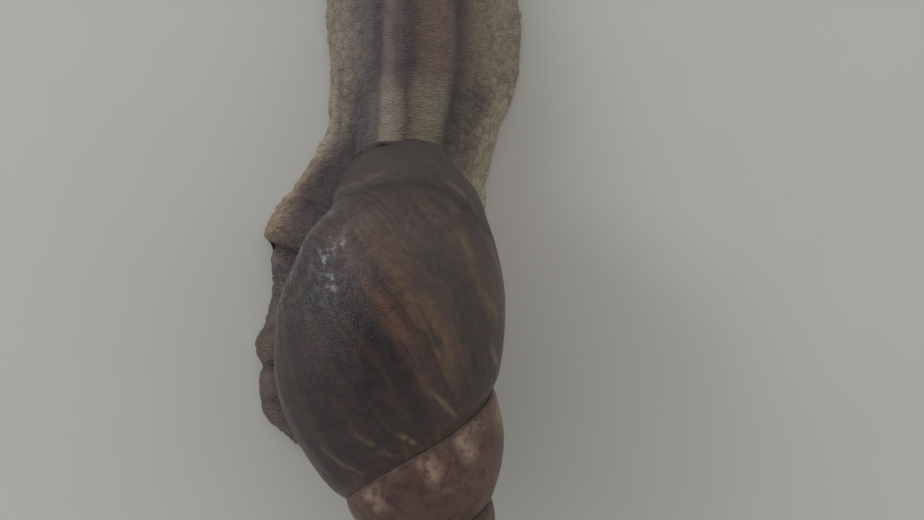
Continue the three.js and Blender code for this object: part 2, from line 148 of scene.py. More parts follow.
# feelers on the left: the root from the head's middle, steps from it along the stalk, and the radii of
# root, waist and bulb
UPPER_FEELER = ((4.6, -59, 10.2), ((2.6, -5, 3.4), (5.4, -9.6, 7.4), (7.8, -14.2, 11.2)), (1.85, 1.0, 1.4))
LOWER_FEELER = ((3.6, -66.4, 5.6), ((0.8, -2, 0.2), (1.5, -3.7, 0), (2.2, -5.6, -0.4)), (1.15, 0.78, 0.95))
FEELER_RINGS = 120
TUBE_POINTS = 32
EYE_RADIUS = 0.75
EYE_RING = 114  # the ring of the stalk that carries the eye
EYE_STALK_ROOT = 1.75  # radius at the root of the line that the eye is set on
EYE_STEP = (0.45, -0.75, 0.55)  # outward, forward and up from the stalk's middle

FLOOR_HALF = 1.5
CAMERA_LENS = 92.41
CAMERA_HEIGHT = 0.368


# ---- whole arrays ----

def xyz(x, y, z):
    """Three arrays or plain numbers as one array of vectors."""
    return np.stack(np.broadcast_arrays(x, y, z), axis=-1)


def rows(x, y, z):
    """Three arrays or plain numbers as one row of three for each point."""
    return xyz(x, y, z).reshape(-1, 3)


def eased(value, start, end):
    """0 before start, 1 after end, smooth in between."""
    part = np.clip((value - start) / (end - start), 0, 1)
    return part * part * (3 - 2 * part)


def mound(value, middle, width):
    """1 in the middle, falling away on both sides: e to the minus square of the distance in widths."""
    return np.exp(-(((value - middle) / width) ** 2))


def cubic(places, values, wanted):
    """Values between places: cubic pieces whose slopes come from the neighbours."""
    slopes = np.gradient(values, places)
    at = np.clip(np.searchsorted(places, wanted) - 1, 0, len(places) - 2)
    width = places[at + 1] - places[at]
    part = (wanted - places[at]) / width
    return (
        values[at] * (1 + 2 * part) * (1 - part) ** 2
        + slopes[at] * width * part * (1 - part) ** 2
        + values[at + 1] * part**2 * (3 - 2 * part)
        + slopes[at + 1] * width * part**2 * (part - 1)
    )


HASH_ROWS = 4096
HASH_FACTORS = (73856093, 19349663, 83492791)


def hashed(cells, seed, width):
    """Repeatable random numbers for whole-number cells: their indices mixed into one table."""
    table = np.random.default_rng(seed).random((HASH_ROWS, width))
    return table[np.bitwise_xor.reduce(cells * HASH_FACTORS, axis=-1) & (HASH_ROWS - 1)]


def soft_noise(points, seed):
    """Smooth noise in -1..1: random values at whole numbers, eased in between in all three directions."""
    low = np.floor(points).astype(np.int64)
    part = points - low
    part = part * part * (3 - 2 * part)
    total = np.zeros(points.shape[:-1])
    for corner in np.ndindex(2, 2, 2):
        corner = np.array(corner)
        weight = np.prod(np.where(corner, part, 1 - part), axis=-1)
        total += weight * hashed(low + corner, seed, 1)[..., 0]
    return 2 * total - 1


def noise_at(seed, x, y, z):
    """Smooth noise where each place is three numbers; a plain number is the same all over."""
    return soft_noise(xyz(x, y, z), seed)


def pebbles(points, seed):
    """Rounded pebbles: distance to the second nearest random seed less the distance to the nearest."""
    low = np.floor(points).astype(np.int64)
    nearest = np.full(points.shape[:-1], 9.0)
    second = nearest.copy()
    for offset in np.ndindex(3, 3, 3):
        cell = low + np.array(offset) - 1
        distance = np.linalg.norm(cell + hashed(cell, seed, 3) - points, axis=-1)
        second = np.minimum(second, np.maximum(distance, nearest))
        nearest = np.minimum(nearest, distance)
    return second - nearest


# ---- meshes from grids ----

def numbered(grid, start=0):
    """A number for each point of a grid, counted from a start."""
    return np.arange(grid[..., 0].size).reshape(grid.shape[:2]) + start


def quads(index):
    """The quads of a grid of point numbers, one for each cell."""
    return np.stack([index[:-1, :-1], index[1:, :-1], index[1:, 1:], index[:-1, 1:]], axis=-1).reshape(-1, 4)


def whole(found):
    """The triangles that have three different corners."""
    first, second, third = found.T
    return found[(first != second) & (second != third) & (third != first)]


def triangles(faces):
    """Quads as triangles, without those that have lost a side where points run together."""
    return whole(np.concatenate([faces[:, [0, 1, 2]], faces[:, [0, 2, 3]]]))


def zipped(first, first_at, second, second_at):
    """Triangles between two lines of points with unequal steps: each step in turn, by how far it ends."""
    ends = np.concatenate([first_at[1:], second_at[1:]])
    order = np.argsort(ends, kind="stable")
    on_first = (np.arange(ends.size) < first_at.size - 1)[order]
    i = np.cumsum(on_first) - on_first
    j = np.cumsum(~on_first) - ~on_first
    next_first = first[np.minimum(i + 1, first.size - 1)]
    next_second = second[np.minimum(j + 1, second.size - 1)]
    return whole(np.stack([first[i], np.where(on_first, next_first, next_second), second[j]], axis=1))


def closed_loft(points):
    """Points and faces of a closed body: rings of points, wrapped around and capped on their middles."""
    index = numbered(points)
    ahead = np.roll(index, -1, axis=1)
    caps = np.stack([points[0].mean(axis=0), points[-1].mean(axis=0)])
    start = rows(index[0], ahead[0], index.size)
    end = rows(ahead[-1], index[-1], index.size + 1)
    sides = quads(np.concatenate([index, index[:, :1]], axis=1))
    return np.concatenate([points.reshape(-1, 3), caps]), [sides, start, end]


def placed(name, mesh, materials):
    """An object at the origin that shows a smooth mesh in its materials."""
    mesh.name = name
    mesh.shade_smooth()
    for material in materials:
        mesh.materials.append(material)
    piece = bpy.data.objects.new(name, mesh)
    bpy.context.collection.objects.link(piece)
    return piece


def new_piece(name, points, faces, *materials):
    """An object from millimetre points of the drawing and blocks of faces."""
    mesh = bpy.data.meshes.new(name)
    mesh.from_pydata(((points + PLACE) * MM).tolist(), [], sum((block.tolist() for block in faces), []))
    mesh.validate()
    return placed(name, mesh, materials)


def keep_values(piece, name, values):
    """Writes three numbers for each point of a piece under a name that its material reads."""
    attribute = piece.data.attributes.new(name, "FLOAT_VECTOR", "POINT")
    attribute.data.foreach_set("vector", np.ascontiguousarray(values, dtype=np.float32).ravel())


def read_out(elements, name):
    """One vector of each element of a mesh, as rows of three numbers."""
    flat = np.empty(len(elements) * 3)
    elements.foreach_get(name, flat)
    return flat.reshape(-1, 3)


# ---- shell ----

def whorl_radius(share):
    """Radius of the last whorl: a rounded shoulder above the girth and a fuller curve to the base below."""
    above = np.clip((GIRTH_AT - share) / SHOULDER, 0, 1)
    below = np.clip((share - GIRTH_AT) / (1 - GIRTH_AT), 0, 1)
    shoulder = (1 - above**2) ** (1 / SHOULDER_POWER)
    base = (1 - below**BASE_BULGE) ** (1 / BASE_POWER)
    return GIRTH * np.where(share < GIRTH_AT, shoulder, base)


def fullness(turn):
    """Inner whorls are a little fuller than plain growth gives, by a ramp over the turns."""
    return 1 + INNER_BULGE * np.clip((-turn - INNER_FROM) / (INNER_TO - INNER_FROM), 0, 1)


def upper_suture(turn):
    """Where the profile of a turn comes out from under the one inside it, found by halving."""
    low = np.full(np.shape(turn), GIRTH_AT - SHOULDER)
    high = np.full(np.shape(turn), GIRTH_AT)
    for _ in range(HALVINGS):
        middle = (low + high) / 2
        own = whorl_radius(middle) * fullness(turn)
        hidden = own < whorl_radius(middle * GROWTH) / GROWTH * fullness(turn - 1)
        low, high = np.where(hidden, middle, low), np.where(hidden, high, middle)
    return low


def lower_suture(turn):
    """Where the profile of a turn goes under the next one."""
    return upper_suture(turn + 1) * GROWTH


def around_axis(turn, down, radius):
    """A point by turn, share of the length from the apex and radius; the base is turned to the lip."""
    angle = LIP_ANGLE + FULL_TURN * turn
    turned = np.clip((down - TURNED_FROM) / (1 - TURNED_FROM), 0, 1) ** TURNED_POWER
    width = radius * (1 - TURNED_THINNER * turned)
    along = (down - TURNED_BACK * turned)[..., None] * TO_BASE
    aside = (np.sin(angle) * width + TURNED_ASIDE * turned)[..., None] * TO_RIGHT
    return APEX + SHELL_LENGTH * (along + aside + (np.cos(angle) * width)[..., None] * TO_BACK)


def swollen(points):
    """Pushes a few corners of the outline outward: each a soft mound of movement around one place."""
    pushed = points.copy()
    for x, y, push_x, push_y, reach in CORNERS:
        near = np.exp(-((points[..., 0] - x) ** 2 + (points[..., 1] - y) ** 2) / reach**2)
        pushed[..., 0] += push_x * near
        pushed[..., 1] += push_y * near
    return pushed


def shell_point(turn, share, lift=0.0):
    """The spiral: one profile, grown by a power of the turn, carried round the axis; lift is in mm."""
    size = GROWTH**turn
    radius = size * whorl_radius(share) * fullness(turn)
    radius = np.maximum(radius + lift / SHELL_LENGTH, LEAST_RADIUS * radius)
    return swollen(around_axis(turn, size * share, radius))


def shell_relief(turn, share, place):
    """Growth folds, broad swells, the pleated, pressed-in suture and the flare at the base, as lift in mm;
    place is 0..1 in the strip."""
    growth = turn + GROWTH_LINE_LEAN * share
    folds = noise_at(11, growth * 34, share * 3, 0)
    ripple = noise_at(12, growth * 88, share * 5, 4)
    swell = noise_at(13, growth * 9, share * 4, 9)
    uneven = noise_at(14, growth * 42, 0, 2)
    lift = 0.16 * folds + 0.07 * ripple + 0.2 * swell
    near_suture = np.minimum(place, np.abs(1 - place))
    crease = mound(near_suture, 0, SUTURE_WIDTH)
    pleats = mound(near_suture, 0, PLEAT_WIDTH) * uneven
    lift = lift * (1 - crease) - (0.2 + 0.16 * uneven) * crease + 0.24 * pleats * (1 - crease)
    spoon = eased(share, 0.88, 0.95) * (1 - eased(share, 0.955, 0.995)) * eased(turn, -0.75, -0.35)
    shoulder = 1 + 1.3 * mound(turn, -0.14, 0.09)
    return (GROWTH**turn) ** 0.7 * lift + SPOON_FLARE * spoon * shoulder


def growth_marks(turn, share):
    """For each point the growth line it is on, its share of the profile and how far down the shell it is."""
    return rows(turn + GROWTH_LINE_LEAN * share, share, GROWTH**turn * share)


def shell_piece(*materials):
    """The spiral strip between two sutures, the base of the last turn, the lip's edge and the aperture."""
    columns = round(WHORLS * COLUMNS_PER_TURN)
    turn = (np.arange(columns + 1) - columns) / COLUMNS_PER_TURN
    row = np.linspace(0, 1, STRIP_ROWS + 1)
    place = 0.5 * row + 0.25 * (1 - np.cos(math.pi * row))
    upper, lower = upper_suture(turn)[:, None], lower_suture(turn)[:, None]
    share = upper + (lower - upper) * place
    turns = np.broadcast_to(turn[:, None], share.shape)
    places = np.broadcast_to(place, share.shape).copy()
    places[-COLUMNS_PER_TURN - 1:] *= 0.5  # the last turn has no suture below its strip
    strip_lift = shell_relief(turns, share, places)
    strip = shell_point(turns, share, strip_lift)

    base_turn = turn[-COLUMNS_PER_TURN - HIDDEN_COLUMNS - 1:][:, None]
    base_upper = lower_suture(base_turn)
    base_share = base_upper + (1 - base_upper) * np.sin(np.linspace(0, math.pi / 2, BASE_ROWS + 1))
    base_turns = np.broadcast_to(base_turn, base_share.shape)
    base = shell_point(base_turns, base_share, shell_relief(base_turns, base_share, 0.5))

    strip_index = numbered(strip)
    strip_index[:-COLUMNS_PER_TURN, -1] = strip_index[COLUMNS_PER_TURN:, 0]
    base_index = numbered(base, strip_index.size)
    base_index[HIDDEN_COLUMNS:, 0] = strip_index[-COLUMNS_PER_TURN - 1:, -1]

    # the lip: over its rounded edge and back along its inner wall, as steps of (turns, share of thickness)
    lip_share = np.concatenate([share[-1], base_share[-1, 1:]])
    lip_index = np.concatenate([strip_index[-1], base_index[-1, 1:]])
    thickness = np.minimum(LIP_THICKNESS, 0.4 * SHELL_LENGTH * whorl_radius(lip_share))
    behind = -np.arange(1, HIDDEN_COLUMNS + 1) / COLUMNS_PER_TURN
    inner_steps = np.stack([behind, np.minimum(1.0, 0.9 + 0.1 * np.arange(HIDDEN_COLUMNS))], axis=1)
    steps = np.concatenate([LIP_EDGE, inner_steps])
    edge_turn = np.broadcast_to(steps[:, :1], (len(steps), lip_share.size))
    edge_share = np.broadcast_to(lip_share, edge_turn.shape)
    # where the base closes across the axis, the wall's thickness is along the axis
    slope = np.gradient(whorl_radius(lip_share), lip_share)
    across_axis = np.clip(-slope, 0, None) / np.sqrt(1 + slope**2)
    edge = shell_point(edge_turn, edge_share, -steps[:, 1:] * thickness)
    edge -= (steps[:, 1:] * thickness * across_axis)[..., None] * TO_BASE

    # the aperture's wall: straight from the lip's inner wall to the whorl before it or the axis
    wall_turn = edge_turn[-1]
    size = GROWTH**wall_turn
    down = size * lip_share - thickness * across_axis / SHELL_LENGTH
    outer = size * whorl_radius(lip_share) * fullness(wall_turn) - thickness / SHELL_LENGTH
    inner_share = down / (size / GROWTH)
    inner = np.where(inner_share < 1, size / GROWTH * whorl_radius(inner_share) * fullness(wall_turn - 1), 0)
    radius = outer + (inner - outer) * np.linspace(0, 1, WALL_ROWS + 2)[1:-1, None]
    wall = around_axis(np.broadcast_to(wall_turn, radius.shape), np.broadcast_to(down, radius.shape), radius)

    inside = np.concatenate([edge, wall])
    inside_index = np.concatenate([lip_index[None], numbered(inside, strip_index.size + base_index.size)])
    # its ends run together on the lip's two corners, the suture and the axis
    rounded = len(LIP_EDGE) + 1
    wall_start = rounded + HIDDEN_COLUMNS
    inside_index[:rounded, 0] = lip_index[0]
    inside_index[:rounded, -1] = lip_index[-1]
    inside_index[rounded:wall_start, 0] = base_index[HIDDEN_COLUMNS - 1:: -1, 0]
    inside_index[rounded:wall_start, -1] = base_index[-2: -2 - HIDDEN_COLUMNS: -1, -1]
    inside_index[wall_start:, 0] = base_index[0, 0]
    inside_index[wall_start:, -1] = base_index[-1 - HIDDEN_COLUMNS, -1]
    # the wall's inner border, on the whorl before it and then on the axis
    border = np.concatenate([base_index[0], base_index[1: -HIDDEN_COLUMNS, -1]])
    border_size = GROWTH ** base_turn[:-HIDDEN_COLUMNS, 0]
    border_at = np.concatenate([border_size[0] * base_share[0], border_size[1:]])

    # the blunt apex
    tip = APEX + TO_BASE * GROWTH**-WHORLS * upper[0] * CROWN * SHELL_LENGTH
    crown = np.concatenate([strip_index[: COLUMNS_PER_TURN + 1, 0], strip_index[0][::-1][1:]])
    cap = rows(strip_index.size + base_index.size + inside[..., 0].size, crown[1:], crown[:-1])

    points = np.concatenate([strip.reshape(-1, 3), base.reshape(-1, 3), inside.reshape(-1, 3), tip[None]])
    faces = [
        np.concatenate([quads(strip_index), quads(base_index)]),
        np.concatenate([triangles(quads(inside_index)), zipped(border, border_at, inside_index[-1], down)]),
        cap,
    ]
    depth = np.concatenate([-edge_turn / APERTURE_DEPTH, np.ones(wall.shape[:2])])
    growth = [growth_marks(turns, share), growth_marks(base_turns, base_share), rows(depth, depth, depth),
              rows(-WHORLS, 0.5, 0)]
    in_strip = [rows(places, turns, strip_lift), rows(0.5, base_turns, 0), rows(0 * depth, 0, 0),
                rows(0.5, -WHORLS, 0)]
    used = np.unique(np.concatenate([block.ravel() for block in faces]))
    piece = new_piece("shell", points[used], [np.searchsorted(used, block) for block in faces], *materials)
    keep_values(piece, "growth", np.concatenate(growth)[used])
    keep_values(piece, "strip", np.concatenate(in_strip)[used])
    which = np.repeat([0, 1, 0], [len(block) for block in faces])
    piece.data.polygons.foreach_set("material_index", which.astype(np.int32))
    return piece


def shell_underside():
    """The height of the shell's lowest surface over each cell of the floor, and where the cells start."""
    turn, share = np.meshgrid(np.linspace(-1.9, 0, 1500), np.linspace(0.36, 1, 260), indexing="ij")
    outside = shell_point(turn, share, -LIP_THICKNESS).reshape(-1, 3)
    share, inward = np.meshgrid(np.linspace(0.4, 1, 400), np.linspace(0.25, 1, 120), indexing="ij")
    wall_turn = np.full(share.shape, -APERTURE_DEPTH)
    size = GROWTH**wall_turn
    wall = around_axis(wall_turn, size * share, size * whorl_radius(share) * inward).reshape(-1, 3)
    points = np.concatenate([outside, wall])
    start = points[:, :2].min(axis=0) - 2 * UNDER_CELL
    cells = ((points[:, :2] - start) / UNDER_CELL).astype(int)
    heights = np.full(cells.max(axis=0) + 4, OPEN_SKY)
    np.minimum.at(heights, (cells[:, 0], cells[:, 1]), points[:, 2])
    return heights, start


def pressed_under_shell(points):
    """Lays soft points under the shell: what stands above its underside is let down, with a soft start."""
    heights, start = shell_underside()
    place = (points[:, :2] - start) / UNDER_CELL - 0.5
    low = np.clip(np.floor(place).astype(int), 0, np.array(heights.shape) - 2)
    part = np.clip(place - low, 0, 1)
    sides = list(np.ndindex(2, 2))
    corners = np.stack([heights[low[:, 0] + i, low[:, 1] + j] for i, j in sides], axis=1)
    weights = np.stack([np.abs(1 - i - part[:, 0]) * np.abs(1 - j - part[:, 1]) for i, j in sides], axis=1)
    inside = np.all((place >= 0) & (place < np.array(heights.shape) - 1), axis=1)
    at_rim = corners.max(axis=1) >= OPEN_SKY
    limit = np.where(at_rim, corners.min(axis=1), (corners * weights).sum(axis=1)) - SKIN_CLEAR
    over = points[:, 2] - np.where(inside, limit, OPEN_SKY)
    pressed = points.copy()
    pressed[:, 2] -= SKIN_SOFTNESS * np.logaddexp(0, over / SKIN_SOFTNESS)
    return pressed


# ---- flesh ----

def along_body(y, column):
    """One size of the stations at any place."""
    return cubic(STATIONS[:, 0], STATIONS[:, column], y)


def foot_and_back():
    """Rings along the body: a flat sole, a thin hem and a back that swells from the hem to the ridge."""
    y = np.linspace(FOOT_FRONT, FOOT_REAR, BODY_RINGS)[:, None]
    left, right, ridge, height, hem = (
        along_body(y, column) for column in (LEFT_EDGE, RIGHT_EDGE, BACK_LINE, BACK_HEIGHT, HEM))
    inset = np.minimum(0.4 * hem, (left - right) / 4)
    sole_half = (left - right) / 2 - inset
    sole = xyz((left + right) / 2 + sole_half * np.linspace(-1, 1, SOLE_POINTS + 1)[None, :-1], y, 0)
    across = np.cos(np.linspace(0, math.pi, BACK_POINTS))[None]
    reach = np.where(across > 0, left - ridge, ridge - right)
    back_height = hem * 0.6 + (height - hem * 0.6) * (1 - across**2) ** BACK_POWER
    return closed_loft(np.concatenate([sole, xyz(ridge + reach * across, y, back_height)], axis=1))


def egg(middle, half_sizes):
    """A closed egg: rings from pole to pole, each half size on its own axis."""
    polar = np.linspace(0.02, math.pi - 0.02, 40)[:, None]
    angle = np.linspace(0, FULL_TURN, 65)[None, :-1]
    unit = xyz(np.sin(polar) * np.cos(angle), np.sin(polar) * np.sin(angle), np.cos(polar))
    return closed_loft(np.array(middle) + unit * np.array(half_sizes))


def smooth_path(stops, count):
    """Even points on a smooth curve through the stops, by the length of the chords between them."""
    stops = np.array(stops, dtype=float)
    lengths = np.concatenate([[0], np.cumsum(np.linalg.norm(np.diff(stops, axis=0), axis=1))])
    at_length = np.linspace(0, lengths[-1], count)
    return np.stack([cubic(lengths, axis, at_length) for axis in stops.T], axis=1)


def tube(path, radii):
    """A closed round tube: circles of the given radii set square to a path."""
    heading = np.gradient(path, axis=0)
    heading /= np.linalg.norm(heading, axis=1, keepdims=True)
    side = np.cross(heading, np.array([0.3, 0.1, 1.0]))
    side /= np.linalg.norm(side, axis=1, keepdims=True)
    up = np.cross(heading, side)
    angle = np.linspace(0, FULL_TURN, TUBE_POINTS, endpoint=False)
    circle = np.cos(angle)[None, :, None] * side[:, None] + np.sin(angle)[None, :, None] * up[:, None]
    return closed_loft(path[:, None] + circle * np.asarray(radii)[:, None, None])


def mantle_collar():
    """The roll of the mantle along the inside of the lip."""
    share = np.array([0.47, 0.56, 0.66, 0.76, 0.85, 0.92])
    stops = shell_point(np.full(share.size, -0.004), share, -3.0) - np.array([0, 0, 1.2])
    far = np.linspace(0, 1, 90)
    return tube(smooth_path(stops, far.size), 2.5 * np.sin(math.pi * (0.1 + 0.8 * far)) ** 0.5)


def head_body():
    """Rounded, slightly squared sections from the neck forward, narrowing and sinking to a blunt snout."""
    far = np.linspace(0, 0.999, 90)[:, None]
    angle = np.linspace(0, FULL_TURN, 97)[None, :-1]
    end = np.sqrt(np.maximum(0.0004, 1 - far**9)) * (0.66 + 0.34 * eased(far, 0, 0.5))
    width = NECK_HALF_WIDTH * (1 - 0.3 * far**1.3) * end
    top = NECK_HEIGHT + (MOUTH_HEIGHT - NECK_HEIGHT) * far**1.6
    half = (top - CHIN_HEIGHT) / 2 * end
    middle = (top + CHIN_HEIGHT) / 2 - 1.6 * (1 - eased(far, 0, 0.5))
    x = HEAD_X + width * np.sign(np.cos(angle)) * np.abs(np.cos(angle)) ** HEAD_SQUARED
    z = middle + half * np.sign(np.sin(angle)) * np.abs(np.sin(angle)) ** HEAD_SQUARED
    return closed_loft(xyz(x, HEAD_REAR - (HEAD_REAR - HEAD_FRONT) * far, z))


def feeler_path(root, reach, root_radius, side):
    """The middle line of a feeler on one side, from just inside the head to its tip."""
    mirrored = np.array([side, 1, 1])
    root = np.array([HEAD_X, 0, 0]) + root * mirrored
    start = root + np.array([-side * root_radius * 0.8, 2.2, -1.8])
    return smooth_path([start, root, *(root + step * mirrored for step in reach)], FEELER_RINGS)


def feeler(root, reach, radii, side):
    """A feeler: flared where it leaves the head, slim along the stalk, with a round bulb at its tip."""
    root_radius, waist_radius, bulb_radius = radii
    path = feeler_path(root, reach, root_radius, side)
    length = np.linalg.norm(np.diff(path, axis=0), axis=1).sum()
    far = np.linspace(0, 1, FEELER_RINGS)
    stalk = waist_radius + (root_radius - waist_radius) * (1 - np.clip(far / 0.6, 0, 1)) ** 1.5
    stalk += 0.9 * root_radius * np.clip(1 - far / 0.22, 0, 1) ** 2
    across = (far - 1) / (2 * bulb_radius / length) * 2 + 1
    bulb = bulb_radius * np.sqrt(np.clip(1 - across**2, 0.01, 1))
    return tube(path, np.where(across < -1, stalk, np.where(across > 0, bulb, np.maximum(stalk, bulb))))


def flesh_parts():
    """The overlapping closed bodies that are grown into one skin."""
    parts = [foot_and_back(), egg((7.2, 1, 9), (11, 20, 15)), mantle_collar(), head_body()]
    for side in (1, -1):
        parts += [feeler(*UPPER_FEELER, side), feeler(*LOWER_FEELER, side)]
        # mouth lappets beside and below the mouth
        parts.append(egg((HEAD_X + side * 4.6, -68.3, 4.5), (3.1, 2.6, 2.3)))
        parts.append(egg((HEAD_X + side * 2.0, -69.0, 3.4), (2.2, 1.8, 1.4)))
    return parts


def grown_together(parts):
    """One closed mesh from overlapping bodies: their outside taken on a fine lattice, then relaxed."""
    points, faces, count = [], [], 0
    for part_points, part_faces in parts:
        points.append(part_points)
        faces += [block + count for block in part_faces]
        count += len(part_points)
    rough = new_piece("rough_flesh", np.concatenate(points), faces)
    lattice = rough.modifiers.new("lattice", "REMESH")
    lattice.mode = "VOXEL"
    lattice.voxel_size = SKIN_VOXEL * MM
    relax = rough.modifiers.new("relax", "SMOOTH")
    relax.factor = 0.5
    relax.iterations = SKIN_SMOOTHINGS
    mesh = bpy.data.meshes.new_from_object(rough.evaluated_get(bpy.context.evaluated_depsgraph_get()))
    bpy.data.objects.remove(rough)
    return mesh


def side_share(points, middle):
    """Signed share of the way from a middle line to the edge of the foot: 1 at the left edge, -1 right."""
    y = np.clip(points[:, 1], FOOT_FRONT + 6, FOOT_REAR - 0.5)
    offset = points[:, 0] - middle
    left, right = along_body(y, LEFT_EDGE), along_body(y, RIGHT_EDGE)
    return offset / np.where(offset > 0, left - middle, middle - right)


def skin_relief(points, normals):
    """Wrinkles, pebbly skin, grooves, skirt folds and the breathing pore, in mm outward; with it come
    the height of the pebbles and the depth of the grooves, for the painted shade and light in the colours."""
    x, y, z = points.T
    share = side_share(points, np.interp(y, *DARK_LINE))
    on_feeler = eased(-y, 61, 66) * eased(z, 8.5, 11)
    # pebbles, longer across the body than along it, which flatten out over the neck's back
    bent = points + 0.7 * np.stack([soft_noise(points / 4, seed) for seed in (31, 32, 33)], axis=1)
    net = pebbles(bent / np.array([2.1, 1.35, 1.9]), 21)
    domes = 1 - (1 - np.clip(net / 0.5, 0, 1)) ** 2
    on_side = eased(1 - np.abs(normals[:, 2]), 0.15, 0.55)
    pebbled = np.clip(0.25 + 1.1 * on_side + 0.5 * eased(-y, 44, 52) + 0.8 * eased(y, 28, 36), 0, 1.4)
    # fine folds square to the body, over broad soft lumps
    folds = noise_at(22, x / 9, y / 1.15, z / 9) + 0.7 * noise_at(23, x / 14, y / 2.6, z / 14)
    relief = 0.26 * pebbled * (domes - 0.7) + 0.09 * folds + 0.3 * soft_noise(points / 6, 24)
    # the long grooves of the neck, with a rounded band between each two
    grooves = mound(share, 0.36, 0.06) + mound(share, -0.46, 0.06)
    grooves = grooves + 0.5 * mound(share, 0.82, 0.05) * eased(y, -34, -26)
    bands = np.cos(share * FULL_TURN / 0.41) * 0.18
    in_front = 1 - eased(y, -14, -6)
    relief += (bands - 0.6 * grooves) * in_front * eased(-y, -70, -60) * (1 - on_feeler)
    # the valley between the shell and the turned-up edge of the foot, crossed by a few deep folds
    valley = eased(y, -21, -14) * (1 - eased(y, 22, 30)) * (share > 0)
    dip = mound(share - 0.64, 0.05 * (y < -6), 0.14)
    relief += valley * (0.8 * mound(share, 0.93, 0.07) - (1.3 + 1.4 * eased(-y, 5, 10)) * dip)
    bent_y = y + 1.8 * share + 1.4 * soft_noise(points / 7, 26)
    crossing = sum(depth * mound(bent_y, middle, 0.4 + 0.5 * depth) for middle, depth in SKIRT_FOLDS)
    relief -= valley * crossing * eased(share, 0.45, 0.8)
    pore = mound(np.linalg.norm((points - BREATHING_PORE) / PORE_SIZE, axis=1), 0, 1)
    relief -= 1.6 * pore
    relief *= eased(z, 0.15, 1.3) * (1 - 0.75 * on_feeler)
    # the depth that the colours darken as painted shade: grooves, the pore, the skirt's folds and the valley
    # beside the shell
    grooves = np.clip(grooves + pore + valley * (crossing + (1 + 0.6 * eased(-y, 5, 10)) * dip), 0, 1.6)
    return relief, 1 - np.minimum(pebbled, 1) * (1 - domes), grooves


def snail_skin(material):
    """All of the flesh as one skin: grown together, laid under the shell, then wrinkled."""
    mesh = grown_together(flesh_parts())
    points = pressed_under_shell(read_out(mesh.vertices, "co") / MM - PLACE)
    normals = read_out(mesh.vertex_normals, "vector")
    relief, domes, grooves = skin_relief(points, normals)
    points = points + normals * relief[:, None]
    # the hem: lobes in and out, and up and down, livelier on the left beside the shell
    y = points[:, 1]
    share = side_share(points, along_body(np.clip(y, FOOT_FRONT, FOOT_REAR), BACK_LINE))
    hem = eased(np.abs(share), 0.86, 1.0) * (1 - eased(points[:, 2], 2.5, 5))
    lobes = noise_at(41, 0, y / 4.2, 3) + 0.4 * noise_at(42, 0, y / 1.8, 5)
    lively = 0.35 + 0.65 * eased(y, -20, -10) * (share > 0)
    points[:, 0] += hem * 0.75 * lively * lobes * np.sign(share)
    raised = hem * 0.8 * lively * lobes * eased(points[:, 2], 0.3, 1.2)
    points[:, 2] = np.maximum(points[:, 2] + raised, 0)
    mesh.vertices.foreach_set("co", ((points + PLACE) * MM).ravel())
    mesh.update()
    piece = placed("skin", mesh, [material])
    across = side_share(points, np.interp(points[:, 1], *DARK_LINE))
    height = np.maximum(along_body(np.clip(points[:, 1], -54, 48), BACK_HEIGHT), 2)
    keep_values(piece, "build", rows(across, points[:, 1] / 100, points[:, 2] / height))
    keep_values(piece, "surface", rows(domes, grooves, share))
    return piece


def eye_piece(side, name, material):
    """A bead in the outer front of the upper feeler's bulb: rings from pole to pole."""
    root, reach, _ = UPPER_FEELER
    carrier = feeler_path(root, reach, EYE_STALK_ROOT, side)[EYE_RING]
    points, faces = egg((0, 0, 0), (EYE_RADIUS,) * 3)
    return new_piece(name, points + (carrier + EYE_STEP * np.array([side, 1, 1])), faces, material)


# ---- materials ----

def tint(red, green, blue):
    """A colour from 0-255 display values."""
    display = np.array([red, green, blue]) / 255
    linear = np.where(display <= 0.04045, display / 12.92, ((display + 0.055) / 1.055) ** 2.4)
    return (*linear.tolist(), 1.0)


class Value:
    """A number, colour or vector that changes over the surface; arithmetic on it makes Math nodes."""

    def __init__(self, tree, socket):
        self.tree, self.socket = tree, socket

    def maths(self, operation, *others):
        """One step of arithmetic with other values or plain numbers."""
        return made(self.tree, "Math", 0, dict(enumerate((self, *others))), operation=operation)

    def __add__(self, other):
        return self.maths("ADD", other)

    def __sub__(self, other):
        return self.maths("SUBTRACT", other)

    def __mul__(self, other):
        return self.maths("MULTIPLY", other)

    def towards(self, share, colour, way="MIX"):
        """This colour with a share of another."""
        return blend(share, self, colour, way)


def put(socket, value):
    """Links a value to an input, or sets a plain number or colour on it."""
    if isinstance(value, Value):
        value.tree.links.new(value.socket, socket)
    else:
        socket.default_value = value


def new_node(tree, kind, inputs, settings):
    """One node with its settings and inputs."""
    node = tree.nodes.new("ShaderNode" + kind)
    for name, value in settings.items():
        setattr(node, name, value)
    for name, value in inputs.items():
        put(node.inputs[name], value)
    return node


def made(tree, kind, output, inputs=None, **settings):
    """The value that one output of a new node gives."""
    return Value(tree, new_node(tree, kind, inputs or {}, settings).outputs[output])


def parts(value):
    """The three numbers of a vector."""
    node = new_node(value.tree, "SeparateXYZ", {0: value}, {})
    return [Value(value.tree, output) for output in node.outputs]


def kept_values(tree, name):
    """The three numbers kept for each point under a name."""
    return parts(made(tree, "Attribute", "Vector", attribute_name=name))


def vector(x, y, z):
    """Three numbers as one vector."""
    return made(x.tree, "CombineXYZ", 0, {0: x, 1: y, 2: z})


def object_mm(tree):
    """Object coordinates in millimetres."""
    at = made(tree, "TexCoord", "Object")
    return made(tree, "VectorMath", 0, {0: at, 1: (1 / MM, 1 / MM, 1 / MM)}, operation="MULTIPLY")


def moved(at, step):
    """A vector with another, or a plain step, added to it."""
    return made(at.tree, "VectorMath", 0, {0: at, 1: step}, operation="ADD")


def grain(at, scale, detail=3.0, roughness=0.55, distortion=0.0):
    """Noise in 0..1."""
    return made(at.tree, "TexNoise", "Fac", {"Vector": at, "Scale": scale, "Detail": detail,
                                             "Roughness": roughness, "Distortion": distortion})


